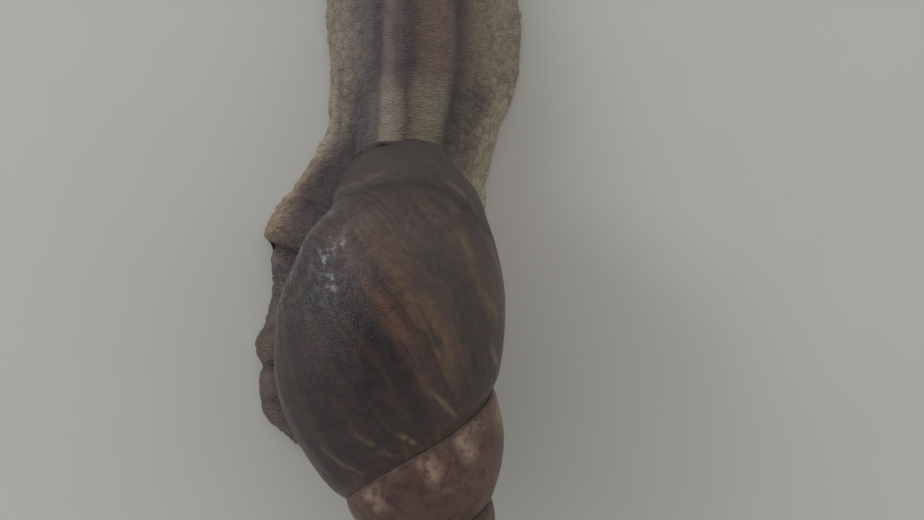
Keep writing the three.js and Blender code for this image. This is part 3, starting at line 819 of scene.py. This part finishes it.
def centred(noise, size):
    """Noise in 0..1 moved to the middle 0 and given a size from end to end."""
    return (noise - 0.5) * size


def between(value, start, end):
    """0 before start, 1 after end, eased in between; start may be the greater one."""
    return made(value.tree, "MapRange", "Result", {"Value": value, "From Min": start, "From Max": end},
                interpolation_type="SMOOTHSTEP")


def window(value, start, full, fading, end):
    """0 before start and after end, 1 from full to fading, eased in between."""
    return between(value, start, full) * between(value, end, fading)


def evenly(value, start, end):
    """0 before start, 1 after end, even in between."""
    return made(value.tree, "MapRange", "Result", {"Value": value, "From Min": start, "From Max": end})


def blend(share, first, second, way="MIX"):
    """Two colours mixed by a share; a plain colour is three display values or four linear ones."""
    tree = next(value.tree for value in (share, first, second) if isinstance(value, Value))
    first, second = (tint(*colour) if isinstance(colour, tuple) and len(colour) == 3 else colour
                     for colour in (first, second))
    return made(tree, "Mix", 2, {0: share, 6: first, 7: second}, data_type="RGBA", blend_type=way)


def ramp(value, stops):
    """A colour ramp from stops: a place, and one grey or three display values."""
    node = new_node(value.tree, "ValToRGB", {0: value}, {})
    elements = node.color_ramp.elements
    for _ in stops[2:]:
        elements.new(0.5)
    for element, stop in zip(elements, stops):
        element.position = stop[0]
    for element, stop in zip(elements, stops):
        element.color = tint(*stop[1:]) if len(stop) == 4 else (stop[1], stop[1], stop[1], 1)
    return Value(value.tree, node.outputs[0])


def peaks(value, table, *last_stops):
    """A grey ramp of 0 with soft peaks, each a start, a top, an end and a height."""
    stops = [stop for start, top, end, height in table for stop in ((start, 0.0), (top, height), (end, 0.0))]
    return ramp(value, [*stops, *last_stops])


def bumped(height, strength, distance):
    """A normal from a height."""
    return made(height.tree, "Bump", "Normal", {"Height": height, "Strength": strength, "Distance": distance})


def node_group(name, inputs, outputs):
    """A shared group: its tree, its named inputs as values, and the sockets of its named outputs."""
    tree = bpy.data.node_groups.new(name, "ShaderNodeTree")
    for label, kind, default in inputs:
        socket = tree.interface.new_socket(label, in_out="INPUT", socket_type="NodeSocket" + kind)
        if default is not None:
            socket.default_value = default
    for label in outputs:
        tree.interface.new_socket(label, in_out="OUTPUT", socket_type="NodeSocketFloat")
    given = {socket.name: Value(tree, socket) for socket in tree.nodes.new("NodeGroupInput").outputs}
    return tree, given, tree.nodes.new("NodeGroupOutput").inputs


def growth_lines_group():
    """Growth lines of a shell: fine lines and broad streaks that follow one growth number."""
    tree, given, result = node_group(
        "growth lines", [("Growth", "Float", 0.0), ("Share", "Float", 0.0), ("Seed", "Float", 0.0)],
        ["Fine", "Streaks"])
    share, seed = given["Share"], given["Seed"]
    growth = given["Growth"]
    growth = growth + centred(grain(vector(growth * 7.0, share * 9.0, seed), 1.0, 2.0), 0.02)
    for label, lines_per_turn, down, detail in (("Fine", 230.0, 5.0, 4.0), ("Streaks", 46.0, 2.2, 3.0)):
        at = vector(growth * lines_per_turn, share * down, seed)
        put(result[label], grain(at, 1.0, detail, 0.6))
    return tree


def damp_grain_group():
    """Fine wrinkled grain of moist skin: a net of creases stretched across the body, and pores."""
    tree, given, result = node_group(
        "damp grain", [("Vector", "Vector", None), ("Across", "Float", 1.0), ("Along", "Float", 1.0)],
        ["Crease", "Height", "Mottle"])
    at, across, along = given["Vector"], given["Across"], given["Along"]
    x, y, z = parts(at)
    stretched = vector(x * across, y * along, z * across)
    drift = made(tree, "TexNoise", "Color", {"Vector": stretched, "Scale": 0.35, "Detail": 2.0})
    bent = moved(stretched, drift)
    net, pores = (made(tree, "TexVoronoi", "Distance", {"Vector": bent, "Scale": scale},
                       feature="DISTANCE_TO_EDGE") for scale in (1.0, 2.7))
    put(result["Crease"], between(net, 0.16, 0.01))
    put(result["Height"], between(net, 0.0, 0.3) + between(pores, 0.0, 0.28) * 0.45)
    put(result["Mottle"], grain(at, 0.55, 5.0, 0.62))
    return tree


def use_group(tree, group, inputs):
    """A group's outputs for the given inputs, by name."""
    node = new_node(tree, "Group", inputs, {"node_tree": group})
    return {output.name: Value(tree, output) for output in node.outputs}


def new_material(name):
    """A material, its node tree and the inputs of its Principled shader."""
    material = bpy.data.materials.new(name)
    material.use_nodes = True
    return material, material.node_tree, material.node_tree.nodes["Principled BSDF"].inputs


# colours of the last whorl along its growth, from 0.4 turns behind the lip to 0.1 beyond it
LAST_WHORL = (
    (0.0, 36, 32, 33), (0.16, 44, 36, 36), (0.26, 34, 30, 33), (0.37, 38, 31, 34), (0.395, 58, 42, 38),
    (0.42, 112, 78, 60), (0.438, 84, 58, 48), (0.455, 50, 38, 36), (0.466, 70, 52, 42), (0.484, 124, 94, 62),
    (0.515, 92, 70, 52), (0.55, 50, 42, 40), (0.655, 58, 48, 42), (0.685, 112, 92, 62), (0.705, 66, 54, 44),
    (0.76, 62, 50, 46), (0.84, 80, 62, 56),
)
# pale flames under the last whorl's suture, over its last 0.6 turns: start, top, end and height
FLAMES = ((0.05, 0.075, 0.09, 0.5), (0.29, 0.303, 0.316, 0.45), (0.405, 0.417, 0.43, 0.4),
          (0.478, 0.488, 0.5, 0.9), (0.613, 0.623, 0.635, 0.7), (0.8, 0.82, 0.835, 0.6))
# cream patches above the suture of the whorl before it, over half a turn, in the same way
CREAM_PATCHES = ((0.04, 0.08, 0.12, 0.5), (0.3, 0.34, 0.4, 0.85), (0.54, 0.59, 0.64, 1.0),
                 (0.7, 0.745, 0.79, 0.9))
# colours across the neck from the animal's right edge (0) over the middle line (0.5) to its left (1)
NECK_IN_FRONT = (
    (0.02, 144, 134, 122), (0.1, 142, 132, 114), (0.18, 128, 114, 96), (0.24, 104, 94, 82),
    (0.285, 92, 84, 78), (0.33, 110, 92, 82), (0.42, 106, 86, 76), (0.47, 78, 66, 64), (0.51, 66, 57, 58),
    (0.56, 84, 72, 72), (0.62, 112, 96, 94), (0.68, 88, 80, 82), (0.74, 96, 86, 86), (0.8, 116, 106, 96),
    (0.88, 138, 128, 114), (0.96, 146, 136, 122),
)
NECK_BEHIND = (
    (0.02, 166, 158, 136), (0.1, 150, 138, 118), (0.15, 108, 98, 88), (0.22, 96, 86, 82), (0.29, 84, 80, 70),
    (0.34, 124, 116, 100), (0.41, 130, 118, 102), (0.46, 118, 102, 88), (0.495, 88, 72, 64),
    (0.54, 120, 106, 94), (0.62, 136, 124, 110), (0.68, 124, 116, 104), (0.73, 82, 76, 76), (0.8, 84, 78, 78),
    (0.87, 122, 112, 98), (0.94, 154, 144, 126),
)
# colours of the skirt from the line of the back (0) to the hem (1)
# in front, the pale band just inside the hem is partly the rim's own pale cream, partly a painted highlight
# on the rolled rim
SKIRT_IN_FRONT = ((0.0, 92, 78, 74), (0.5, 76, 66, 66), (0.76, 92, 78, 72), (0.87, 120, 100, 88),
                  (0.95, 160, 138, 116), (1.0, 146, 126, 106))
SKIRT_BEHIND = ((0.0, 80, 68, 66), (0.7, 78, 66, 62), (0.9, 104, 88, 78), (1.0, 92, 80, 72))


def shell_material(lines_group):
    """Glossy horn: near-black brown with orange growth streaks, paler and blotched on the older whorls."""
    material, tree, surface = new_material("shell horn")
    growth, share, down = kept_values(tree, "growth")
    place, turn, lift = kept_values(tree, "strip")
    at = object_mm(tree)
    lines = use_group(tree, lines_group, {"Growth": growth, "Share": share, "Seed": 3.0})
    streaks = lines["Streaks"]
    clouds = grain(at, 0.13, 4.0, 0.6)
    blots = grain(moved(at, (31, 17, 5)), 0.42, 4.0, 0.65)
    wander = centred(clouds, 0.04) + centred(streaks, 0.035)
    body = ramp(evenly(growth + wander, -0.4, 0.1), LAST_WHORL)
    # streaks are broken into lengths by darker, purplish horn
    gaps = grain(vector(growth * 16.0, share * 13.0, 3.3), 1.0, 3.0, 0.55, 0.4)
    body = body.towards(between(gaps, 0.5, 0.62) * 0.65, (56, 42, 42))
    # the streaks fade towards the suture and the base, into dark horn
    dark = blend(clouds, (33, 29, 31), (60, 46, 44))
    body = dark.towards(window(down, 0.46, 0.58, 0.7, 0.86) * 0.8 + 0.2, body)
    # towards the front the horn is a warm, blotched brown
    warm = window(down, 0.7, 0.78, 0.79, 0.86) * window(growth, -0.21, -0.17, -0.11, -0.07)
    warm_horn = ramp(clouds, ((0.3, 72, 52, 50), (0.5, 98, 76, 62), (0.68, 70, 50, 54)))
    body = body.towards(warm * 0.75, warm_horn)
    body = body.towards(0.3, ramp(streaks, ((0.38, 34, 30, 32), (0.52, 56, 44, 38), (0.64, 98, 70, 50))))
    body = body.towards(between(blots, 0.45, 0.62) * 0.45, (70, 47, 54))
    body = body.towards(between(blots, 0.5, 0.36) * 0.4, (30, 29, 34))
    # pale flames run down from the suture; those in the middle are short
    flame_run = evenly(turn + place * 0.24 + wander * 0.25, -0.6, 0.0)
    short = window(place, 0.03, 0.05, 0.08, 0.13)
    long = window(place, 0.02, 0.05, 0.14, 0.24)
    reach = blend(between(flame_run, 0.46, 0.44), short, long).towards(between(flame_run, 0.52, 0.56), long)
    broken = between(blots, 0.36, 0.5)
    body = body.towards(peaks(flame_run, FLAMES) * reach * broken * 0.75, (150, 126, 96))
    # the whorl before the last is redder, with soft cream blotches above the suture
    older = blend(clouds, (62, 42, 38), (98, 72, 60))
    older = older.towards(streaks * 0.6, (112, 84, 68))
    older = older.towards(between(blots, 0.46, 0.64) * 0.7, (66, 40, 44))
    blotches = between(grain(vector(growth * 15.0, share * 11.0, 7.0), 1.0, 5.0, 0.65, 0.6), 0.58, 0.72)
    blotches = blotches * (between(place, 0.35, 0.85) * 0.4 + 0.1)
    patch_run = evenly(growth + centred(blots, 0.06), -1.5, -1.0)
    patches = peaks(patch_run, CREAM_PATCHES, (0.9, 0.0), (0.95, 0.6)) * window(place, 0.55, 0.72, 0.9, 0.99)
    patches = patches * between(blots, 0.34, 0.54) * 0.75
    older = older.towards(blotches.maths("MAXIMUM", patches), (172, 144, 124))
    # the suture between the two is dull and ragged
    ragged_place = place + centred(blots, 0.16)
    older = older.towards(between(ragged_place, 0.9, 1.0) * 0.6, (58, 46, 44))
    age = between(turn, -0.97, -1.03).maths("MAXIMUM", between(ragged_place, 0.07, 0.0) * 0.6)
    colour = body.towards(age, older)
    # the first whorls are worn pale
    colour = colour.towards(between(turn, -2.2, -3.8) * 0.85, (150, 114, 92))
    # new growth at the front, matte grey-brown, behind a ragged rest line that curves with the front
    x, y, _ = parts(at)
    off_middle = x - FRONT_MIDDLE[0]
    curved = off_middle.maths("POWER", 2.0) * 0.022
    on_right = off_middle.maths("MINIMUM", 0.0).maths("POWER", 2.0) * 0.04
    ahead = curved + on_right + FRONT_MIDDLE[1] - y + centred(blots, 3.0)
    on_last = between(turn, -0.6, -0.5)
    front = between(ahead, -0.2, 0.4) * on_last
    rest_line = window(ahead, -0.9, -0.1, 0.2, 1.0) * on_last
    fresh = blend(lines["Fine"], (50, 44, 43), (70, 60, 56)).towards(clouds * 0.6, (74, 64, 64))
    pink = window(ahead, 1.3, 1.6, 1.8, 2.1) * between(off_middle, 2.0, 5.0)
    fresh = fresh.towards(pink * 0.3, (122, 92, 88))
    colour = colour.towards(front, fresh).towards(rest_line * 0.75, (36, 37, 33))
    # thin pinkish growth lines behind the lip on the right
    blush = between(growth + wander * 0.3, -0.05, -0.03) * between(streaks, 0.5, 0.58) * broken
    blush = blush * window(down, 0.75, 0.8, 0.83, 0.87)
    colour = colour.towards(blush * 0.35, (124, 98, 90))
    # fine growth lines, and painted shade darkening the suture where the surface is pressed in
    colour = colour.towards(0.7, ramp(lines["Fine"], ((0.3, 0.76), (0.7, 1.2))), "MULTIPLY")
    colour = colour.towards(between(lift, -0.14, -0.36) * 0.3, (40, 30, 28))
    put(surface["Base Color"], colour)
    put(surface["Roughness"], blots * 0.3 + 0.24 + front * 0.25)
    height = lines["Fine"] * 0.5 + streaks + grain(at, 1.3, 3.0) * 0.35 + grain(at, 3.4, 2.0) * 0.5
    put(surface["Normal"], bumped(height, 0.7, 0.0004))
    # a wet film in specks, strongest on the animal's left behind the front
    film = between(grain(at, 0.95, 4.0, 0.7), 0.48, 0.58)
    glossiest = between(growth, -0.14, -0.19) * between(down, 0.66, 0.74)
    put(surface["Coat Weight"], film * (glossiest * 0.5 + 0.12) + 0.03)
    surface["Coat Roughness"].default_value = 0.15
    surface["Specular IOR Level"].default_value = 0.45
    return material


def aperture_material():
    """The inside of the lip: bluish white porcelain, brown towards the edge."""
    material, tree, surface = new_material("shell lining")
    mottle = grain(object_mm(tree), 0.3, 4.0)
    depth = kept_values(tree, "growth")[0]
    porcelain = blend(mottle, (128, 124, 128), (160, 152, 146))
    put(surface["Base Color"], blend(between(depth, 0.5, 1.0), (60, 52, 49), porcelain))
    put(surface["Roughness"], mottle * 0.15 + 0.2)
    put(surface["Normal"], bumped(mottle, 0.3, 0.0003))
    return material


def skin_material(grain_group):
    """Moist wrinkled skin: a dark stripe down the neck, cream beside it, tan sides and a pale hem."""
    material, tree, surface = new_material("snail skin")
    side, along, rise = kept_values(tree, "build")
    domes, grooves, edge = kept_values(tree, "surface")
    at = object_mm(tree)
    skin = use_group(tree, grain_group, {"Vector": at, "Across": 0.7, "Along": 2.2})
    wander = centred(grain(at, 0.3, 3.0), 0.16)
    place = (side + wander) * 0.5 + 0.5
    colour = blend(between(along, -0.29, -0.245), ramp(place, NECK_IN_FRONT), ramp(place, NECK_BEHIND))
    # the midline darkens to a smudge where the brown of the neck ends
    smudge = window(along, -0.325, -0.29, -0.27, -0.24) * window(place, 0.44, 0.49, 0.52, 0.6)
    colour = colour.towards(smudge * 0.6, (56, 50, 54))
    # the skirt beside the shell: red-brown flank with a tan hem, which starts later on the right
    # in front, the pale band inside the hem is partly a painted highlight on the rolled rim
    outward = edge.maths("ABSOLUTE")
    skirt = blend(between(along, -0.08, 0.04), ramp(outward + wander * 0.7, SKIRT_IN_FRONT),
                  ramp(outward + wander, SKIRT_BEHIND))
    behind = along - between(side, 0.0, -0.2) * 0.08
    colour = colour.towards(between(behind, -0.185, -0.13), skirt)
    # a painted bluish reflection on the wet skin behind the deepest fold, and painted shade in the grooves,
    # the pore, the folds and the valley by the shell
    damp = window(along, 0.0, 0.008, 0.015, 0.04) * between(side, 0.5, 0.7)
    colour = colour.towards(damp * 0.6, (66, 66, 76))
    colour = colour.towards(grooves * 0.55, (56, 48, 52))
    colour = colour.towards(0.8, ramp(skin["Mottle"], ((0.3, 0.78), (0.7, 1.22))), "MULTIPLY")
    # painted shade in the hollows between the pebbles and painted light on their tops
    colour = colour.towards(0.8, ramp(domes, ((0.0, 0.58), (0.55, 1.08))), "MULTIPLY")
    # painted shade in the fine creases of the grain
    colour = colour.towards(skin["Crease"] * 0.12, (60, 48, 46))
    colour = colour.towards(between(rise, 0.06, 0.0) * 0.5, (150, 134, 110))
    put(surface["Base Color"], colour)
    put(surface["Roughness"], skin["Mottle"] * 0.3 + 0.42)
    put(surface["Normal"], bumped(skin["Height"], 0.6, 0.00035))
    surface["Coat Weight"].default_value = 0.12
    surface["Coat Roughness"].default_value = 0.4
    surface["Subsurface Weight"].default_value = 0.08
    surface["Subsurface Scale"].default_value = 0.001
    return material


def eye_material():
    """A wet near-black bead with a faint brown mottling."""
    material, tree, surface = new_material("eye bead")
    mottle = grain(object_mm(tree), 3.0, 3.0)
    put(surface["Base Color"], blend(mottle, (14, 12, 14), (40, 30, 28)))
    put(surface["Roughness"], mottle * 0.1 + 0.1)
    surface["Coat Weight"].default_value = 0.5
    return material


def floor_material():
    """Plain pale floor with the faintest grain."""
    material, tree, surface = new_material("pale floor")
    mottle = grain(object_mm(tree), 0.05, 4.0)
    put(surface["Base Color"], blend(mottle, (201, 200, 196), (206, 205, 201)))
    put(surface["Roughness"], mottle * 0.1 + 0.7)
    return material


# ---- the snail ----

shell = shell_piece(shell_material(growth_lines_group()), aperture_material())
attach(shell, "root")
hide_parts("shell_body_whorl", "shell_penultimate_whorl", "shell_spire", "shell_apex")

skin = snail_skin(skin_material(damp_grain_group()))
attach(skin, "root")
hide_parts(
    "mantle_collar", "foot_front", "foot_middle", "foot_rear", "tail", "neck_front", "neck_rear",
    "trunk", "head", "snout", "upper_tentacle_left", "upper_tentacle_right", "lower_tentacle_left",
    "lower_tentacle_right",
)

eye_look = eye_material()
for side, node_name in ((1, "eye_left"), (-1, "eye_right")):
    eye = eye_piece(side, "bead_" + node_name, eye_look)
    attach(eye, "root")
    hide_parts(node_name)

# ---- floor, light, walls and camera ----

floor_mesh = bpy.data.meshes.new("floor")
floor_corners = [(x * FLOOR_HALF, y * FLOOR_HALF, 0) for x, y in ((-1, -1), (1, -1), (1, 1), (-1, 1))]
floor_mesh.from_pydata(floor_corners, [], [(0, 1, 2, 3)])
floor = placed("floor", floor_mesh, [floor_material()])


def softbox(name, place, aim, size, power, colour):
    """A square area light at a place, turned to its aim."""
    light = bpy.data.lights.new(name, "AREA")
    light.shape = "SQUARE"
    light.size = size
    light.energy = power
    light.color = colour
    lamp = bpy.data.objects.new(name, light)
    bpy.context.collection.objects.link(lamp)
    heading = np.array(aim) - np.array(place)
    distance = np.linalg.norm(heading)
    lamp.location = place
    lamp.rotation_euler = (math.acos(-heading[2] / distance), 0, math.atan2(-heading[0], heading[1]))


softbox("key", (0.74, -0.36, 0.5), (0, 0, 0.02), 0.36, 2.1, (0.84, 0.9, 1.0))

world = bpy.data.worlds.new("studio")
world.use_nodes = True
sky = world.node_tree
background = sky.nodes["Background"].inputs
_, towards_tail, upward = parts(made(sky, "TexCoord", "Generated"))
# paler walls than ceiling, so that the sides of a glossy thing shine and its top stays deep
dimmed = blend(between(towards_tail, -0.5, 0.6), (1.0, 0.985, 0.955, 1), (0.5, 0.49, 0.475, 1))
walls = ramp(upward, ((0.0, 0.7), (0.3, 0.85), (0.62, 0.85), (0.86, 0.3), (1.0, 0.14)))
put(background["Color"], walls.towards(1.0, dimmed, "MULTIPLY"))
background["Strength"].default_value = 1.3
bpy.context.scene.world = world

camera_data = bpy.data.cameras.new("camera")
camera_data.lens = CAMERA_LENS
camera_data.sensor_width = 36
camera = bpy.data.objects.new("camera", camera_data)
camera.location = (PLACE[0] * MM, PLACE[1] * MM, CAMERA_HEIGHT)
camera.rotation_euler = (0, 0, math.pi)
bpy.context.collection.objects.link(camera)
bpy.context.scene.camera = camera
bpy.context.scene.view_settings.view_transform = "Standard"
